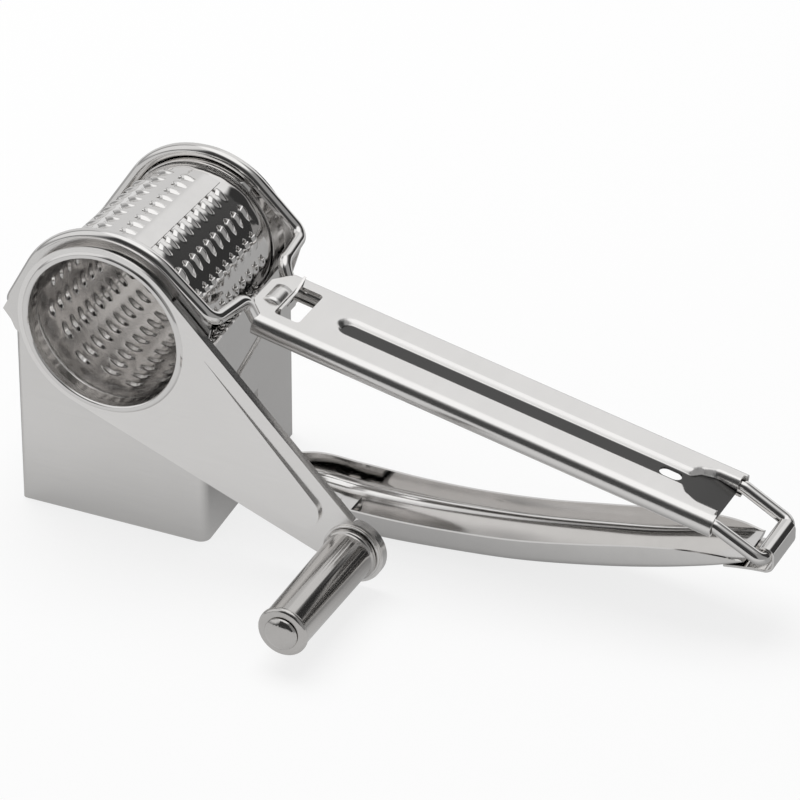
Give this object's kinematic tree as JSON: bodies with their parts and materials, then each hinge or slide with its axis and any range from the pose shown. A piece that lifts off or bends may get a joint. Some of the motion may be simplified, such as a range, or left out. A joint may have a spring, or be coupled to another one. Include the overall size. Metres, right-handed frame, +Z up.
{
  "type": "rotary drum grater",
  "caption": "Hand-cranked rotary drum grater with a squeeze handle, all stainless steel, with an open food box under a toothed drum.",
  "frame": {"origin": "middle of the tool's outline on the surface it stands on", "axes": "+Z up, +X from the food box along the handles to the hinge, +Y along the drum axis from the crank side to the closed side"},
  "size_m": [0.2344, 0.1211, 0.0965],
  "materials": {
    "polished_steel": "polished stainless steel",
    "satin_steel": "satin stainless sheet"
  },
  "bodies": {
    "frame": {"wire_loop": "polished_steel", "hopper_shell": "satin_steel", "front_bearing": "satin_steel", "back_bearing": "satin_steel", "back_boss": "satin_steel", "chute_wall": "satin_steel", "grip_plate": "satin_steel", "catch_pin": "polished_steel"},
    "drum": {"drum_shell": "polished_steel", "drum_neck": "polished_steel", "drum_back": "polished_steel", "crank_plate": "satin_steel", "knob_pin": "polished_steel", "knob_washer": "polished_steel"},
    "knob": {"knob_sleeve": "polished_steel", "knob_cap": "polished_steel"},
    "handle": {"lower_handle": "polished_steel", "presser_plate": "satin_steel", "presser_arm": "satin_steel", "saddle_bracket": "satin_steel", "arm_rivets": "polished_steel", "saddle_rivets": "satin_steel"},
    "catch": {"catch_lever": "satin_steel"}
  },
  "joints": [
    {"name": "crank_spin", "type": "hinge", "parent": "frame", "child": "drum", "pos_m": [-0.08135, 0.0243, 0.0659], "axis": [0, 1, 0], "continuous": true},
    {"name": "knob_spin", "type": "hinge", "parent": "drum", "child": "knob", "pos_m": [-0.00192, -0.0357, 0.01252], "axis": [0, 1, 0], "continuous": true},
    {"name": "handle_squeeze", "type": "hinge", "parent": "frame", "child": "handle", "pos_m": [0.11425, 0.0243, 0.0263], "axis": [0, 1, 0], "range_deg": [0, 8.5]},
    {"name": "catch_press", "type": "hinge", "parent": "frame", "child": "catch", "pos_m": [-0.04339, 0.0243, 0.06481], "axis": [0, 1, 0], "range_deg": [0, 10], "stiffness_Nm_per_rad": 0.05, "springref_deg": -5.73}
  ]
}
